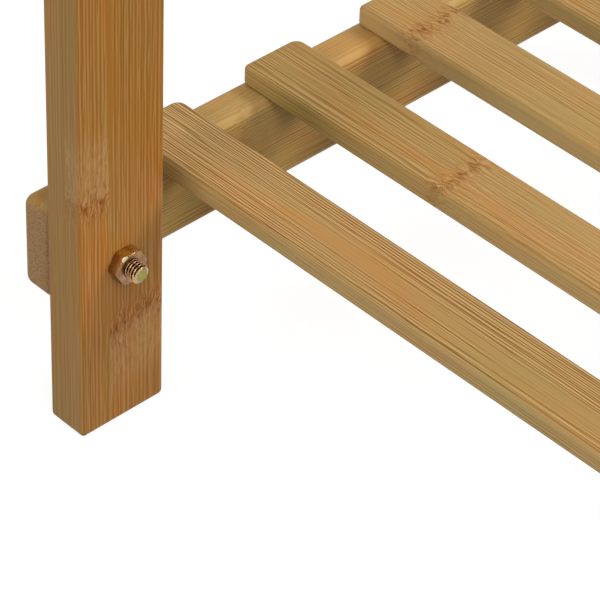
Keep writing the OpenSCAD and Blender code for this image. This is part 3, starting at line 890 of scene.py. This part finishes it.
# Head, shank and square neck of a bolt, and the bore of a nut
HEAD_HEIGHT = 3.2 * MM
SHANK_RADIUS = 2.97 * MM
NECK_SIDE = 6.3 * MM
NECK_START, NECK_END = 3.0 * MM, 7.2 * MM
NUT_BORE = 2.62 * MM
BOLT_FINISHES = ("crest", "hollow_shade", "tip", "rim")
NUT_FINISHES = ("face", "upward_flat_painted_reflection", "side_flat_painted_shade", "hollow_shade", "painted_glint")


# ---------------------------------------------------------------- operators


class BENCH_OT_legs(bpy.types.Operator):
    """Gives the four legs their bamboo"""

    bl_idname = "bench.legs"
    bl_label = "Finish the legs"

    def execute(self, context):
        b = context.scene.bench_bamboo
        for number, node in enumerate(LEGS):
            dress_in_bamboo(
                node,
                LEG_GRAIN,
                (b.leg_tone, b.leg_side_tone),
                seed=3.0 + number,
                strip=(0.020, -0.02475),
                ply=(0.008, -0.0072),
                place=-0.027 + 0.07 * number,
                strip_step=-0.0485,
                ply_step=0.110,
                lean=0.19,
                reach=0.009,
                mottle_reach=0.027,
                swirl=0.003,
                mottle=0.42,
                dark=0.30,
                pale=0.18,
                fibre_size=0.00072,
                node_change=-0.03,
            )
        return {"FINISHED"}


class BENCH_OT_rails(bpy.types.Operator):
    """Gives the side rails, aprons and battens their bamboo"""

    bl_idname = "bench.rails"
    bl_label = "Finish the rails"

    def execute(self, context):
        b = context.scene.bench_bamboo
        bars = (
            ("shelf_rail_left", RAIL_GRAIN, 0.0718),
            ("shelf_rail_right", RAIL_GRAIN, 0.150),
            ("seat_rail_left", RAIL_GRAIN, 0.110),
            ("seat_rail_right", RAIL_GRAIN, 0.190),
            ("seat_apron_front", APRON_GRAIN, 0.140),
            ("seat_apron_back", APRON_GRAIN, 0.060),
            ("shelf_batten", BATTEN_GRAIN, 0.090),
            ("seat_batten", BATTEN_GRAIN, 0.050),
        )
        for number, (node, grain, place) in enumerate(bars):
            dress_in_bamboo(
                node,
                grain,
                (b.rail_tone, b.rail_side_tone),
                seed=20.0 + number,
                strip=(0.032, -0.016),
                ply=(0.0067, -0.0067),
                place=place,
                dark=0.55,
                pale=0.25,
                nodes=0.25,
                reach=0.004,
                swirl=0.001,
            )
        return {"FINISHED"}


class BENCH_OT_slats(bpy.types.Operator):
    """Gives the shelf slats and the seat slats their bamboo"""

    bl_idname = "bench.slats"
    bl_label = "Finish the slats"

    def execute(self, context):
        b = context.scene.bench_bamboo
        tones = (b.slat_tone, b.slat_side_tone)
        # Slats 1 and 3 stay darker at their low ends: painted shade beside the leg, with calmer grain past
        # it.
        shelf = (
            dict(place=0.215, dark=0.95, pale=0.5, front_rich=0.9, back_rich=1.0, calm_and_painted_light=(-0.325, -0.26)),
            dict(place=0.078, dark=0.5, pale=0.3, front_rich=1.0, node_change=0.12, fibre_size=0.00058),
            dict(place=0.022, dark=0.4, pale=0.25, node_change=0.0, calm_and_painted_light=(-0.3, -0.2), fibre_size=0.0006),
            dict(place=0.160, dark=0.5, pale=0.3, back_rich=0.6),
            dict(place=0.120, dark=0.5, pale=0.3, front_rich=0.4),
        )
        for number, own in enumerate(shelf, 1):
            dress_in_bamboo(
                f"shelf_slat_{number}",
                SLAT_GRAIN,
                tones,
                seed=40.0 + number,
                strip=(0.04, -0.02),
                ply=(0.02, -0.01),
                **own,
            )
        for number in range(1, 8):
            dress_in_bamboo(
                f"seat_slat_{number}",
                SLAT_GRAIN,
                tones,
                seed=60.0 + number,
                strip=(0.02, -0.012),
                ply=(0.02, -0.01),
                place=0.05 + 0.083 * number % b.node_spacing,
                strip_step=0.1,
            )
        return {"FINISHED"}


class BENCH_OT_bolts(bpy.types.Operator):
    """Builds the coach bolts of the shelf and the seat, with threads"""

    bl_idname = "bench.bolts"
    bl_label = "Build the bolts"

    def execute(self, context):
        for node in ("shelf_bolts", "seat_bolts"):
            bm = bmesh.new()
            for place, low, high, _ in at_corners(node):
                head_radius = (high.z - low.z) / 2
                bolt_skin(bm, place, HEAD_HEIGHT, head_radius, high.x - low.x, SHANK_RADIUS)
                neck_skin(bm, place, NECK_SIDE, NECK_START, NECK_END)
            finish_piece(node + "_threaded", bm, BOLT_FINISHES, [node], smooth_degrees=38)
        return {"FINISHED"}


class BENCH_OT_nuts(bpy.types.Operator):
    """Builds the hexagon nuts of the shelf and the seat"""

    bl_idname = "bench.nuts"
    bl_label = "Build the nuts"

    def execute(self, context):
        for node in ("shelf_nuts", "seat_nuts"):
            bm = bmesh.new()
            for place, low, high, points in at_corners(node):
                inverse = place.inverted()
                local = [inverse @ p for p in points]
                far = max(local, key=lambda p: p.x ** 2 + p.y ** 2)
                flats = 2 * math.hypot(far.x, far.y) * math.cos(math.pi / 6)
                nut_skin(bm, place, flats, high.x - low.x, math.atan2(far.y, far.x), NUT_BORE)
            finish_piece(node + "_cut", bm, NUT_FINISHES, [node], smooth_degrees=35)
        return {"FINISHED"}


class BENCH_OT_fasteners(bpy.types.Operator):
    """Finishes the fasteners and dowels that keep their plain shape"""

    bl_idname = "bench.fasteners"
    bl_label = "Finish the other fasteners"

    def execute(self, context):
        dress("apron_bolts", zinc("face"))
        steel = plain_steel()
        for node in ("apron_barrel_nuts", "shelf_batten_screws", "seat_batten_screws"):
            dress(node, steel)
        wood = dowel_wood()
        for node in ("shelf_slat_dowels", "seat_slat_dowels", "batten_dowels"):
            dress(node, wood)
        return {"FINISHED"}


def white_rays(w):
    """1 for the rays that meet the white background: those of the camera, of shine and of clear materials."""
    path = w.add("LightPath").outputs
    shine = w.math("MAXIMUM", path["Is Glossy Ray"], path["Is Transmission Ray"])
    return w.math("MAXIMUM", path["Is Camera Ray"], shine)


class BENCH_OT_stage(bpy.types.Operator):
    """Sets up the floor, the lights and the camera"""

    bl_idname = "bench.stage"
    bl_label = "Set the stage"

    def execute(self, context):
        s = context.scene.bench_stage
        self.floor(s)
        self.sky(context, s)
        self.camera(context, s)
        # The softboxes aim at the lower left end of the bench.
        target = (-0.27, -0.05, 0.08)
        self.softbox("back_softbox", (0.742, 0.843, 1.271), target, 0.9, s.back_power)
        self.softbox("right_softbox", (1.06, -0.54, 1.20), target, 0.9, s.right_power)
        self.softbox("front_softbox", (-0.55, -1.57, 0.96), target, 0.45, s.front_power)
        context.scene.view_settings.view_transform = "Standard"
        return {"FINISHED"}

    def floor(self, s):
        bm = bmesh.new()
        half_width, drop = 8.0, 0.3 * MM
        bmesh.ops.create_grid(bm, x_segments=12, y_segments=12, size=half_width)
        bmesh.ops.translate(bm, verts=bm.verts, vec=(0, 0, -drop))
        mesh = bpy.data.meshes.new("floor")
        bm.to_mesh(mesh)
        bm.free()
        piece = bpy.data.objects.new("floor", mesh)
        bpy.context.scene.collection.objects.link(piece)
        material, w = new_material("pale_floor")
        plain = w.add("BsdfDiffuse", {"Color": linear(s.floor)})
        glow = w.math("MULTIPLY", white_rays(w), s.floor_glow)
        white = w.add("Emission", {"Color": (1, 1, 1, 1), "Strength": glow})
        both = w.add("AddShader", {0: plain.outputs[0], 1: white.outputs[0]})
        w.add("OutputMaterial", {"Surface": both.outputs[0]})
        mesh.materials.append(material)

    def sky(self, context, s):
        world = bpy.data.worlds.new("soft_sky")
        world.use_nodes = True
        w = Wiring(world.node_tree)
        height = w.split(w.add("TexCoord").outputs["Generated"])[2]
        strength = w.smooth(height, -0.1, 0.6, s.sky * s.horizon, s.sky)
        light = w.add("Background", {"Color": (1.0, 0.96, 0.90, 1), "Strength": strength})
        white = w.add("Background", {"Color": (1, 1, 1, 1), "Strength": 1.0})
        both = w.add("MixShader", {0: white_rays(w), 1: light.outputs[0], 2: white.outputs[0]})
        w.add("OutputWorld", {"Surface": both.outputs[0]})
        context.scene.world = world

    def softbox(self, name, place, target, size, power):
        light = bpy.data.lights.new(name, "AREA")
        light.shape = "SQUARE"
        light.size = size
        light.energy = power
        lamp = bpy.data.objects.new(name, light)
        lamp.location = place
        lamp.rotation_euler = (Vector(target) - Vector(place)).to_track_quat("-Z", "Y").to_euler()
        bpy.context.scene.collection.objects.link(lamp)

    def camera(self, context, s):
        sin_a, cos_a = math.sin(s.azimuth), math.cos(s.azimuth)
        sin_e, cos_e = math.sin(s.elevation), math.cos(s.elevation)
        back = Vector((sin_a * cos_e, -cos_a * cos_e, sin_e))
        right = Vector((cos_a, sin_a, 0))
        up = back.cross(right)
        x_axis = math.cos(s.roll) * right + math.sin(s.roll) * up
        y_axis = -math.sin(s.roll) * right + math.cos(s.roll) * up
        corner = Vector((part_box("seat_rail_left")[0].x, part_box("leg_front_left")[0].y, 0))
        place = corner + s.aim_right * x_axis + s.aim_up * y_axis + s.distance * back
        data = bpy.data.cameras.new("camera")
        data.lens = s.lens
        data.sensor_width = 36
        data.clip_start, data.clip_end = 0.01, 50
        camera = bpy.data.objects.new("camera", data)
        axes = Matrix((x_axis, y_axis, back)).transposed().to_4x4()
        camera.matrix_world = Matrix.Translation(place) @ axes
        context.scene.collection.objects.link(camera)
        context.scene.camera = camera


class BENCH_PT_panel(bpy.types.Panel):
    bl_label = "Entryway bench"
    bl_idname = "BENCH_PT_panel"
    bl_space_type = "VIEW_3D"
    bl_region_type = "UI"
    bl_category = "Bench"

    def draw(self, context):
        for operator in OPERATORS:
            self.layout.operator(operator.bl_idname)
        for name, group in SETTINGS.items():
            box = self.layout.box()
            box.label(text=group.__doc__)
            for prop in group.__annotations__:
                box.prop(getattr(context.scene, name), prop)


OPERATORS = (
    BENCH_OT_legs,
    BENCH_OT_rails,
    BENCH_OT_slats,
    BENCH_OT_bolts,
    BENCH_OT_nuts,
    BENCH_OT_fasteners,
    BENCH_OT_stage,
)
CLASSES = (*SETTINGS.values(), *OPERATORS, BENCH_PT_panel)


def register():
    for cls in CLASSES:
        bpy.utils.register_class(cls)
    for name, group in SETTINGS.items():
        setattr(bpy.types.Scene, name, PointerProperty(type=group))


def unregister():
    for name in SETTINGS:
        delattr(bpy.types.Scene, name)
    for cls in reversed(CLASSES):
        bpy.utils.unregister_class(cls)


def main():
    register()
    bpy.ops.bench.legs()
    bpy.ops.bench.rails()
    bpy.ops.bench.slats()
    bpy.ops.bench.bolts()
    bpy.ops.bench.nuts()
    bpy.ops.bench.fasteners()
    bpy.ops.bench.stage()
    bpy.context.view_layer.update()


if __name__ == "__main__":
    main()
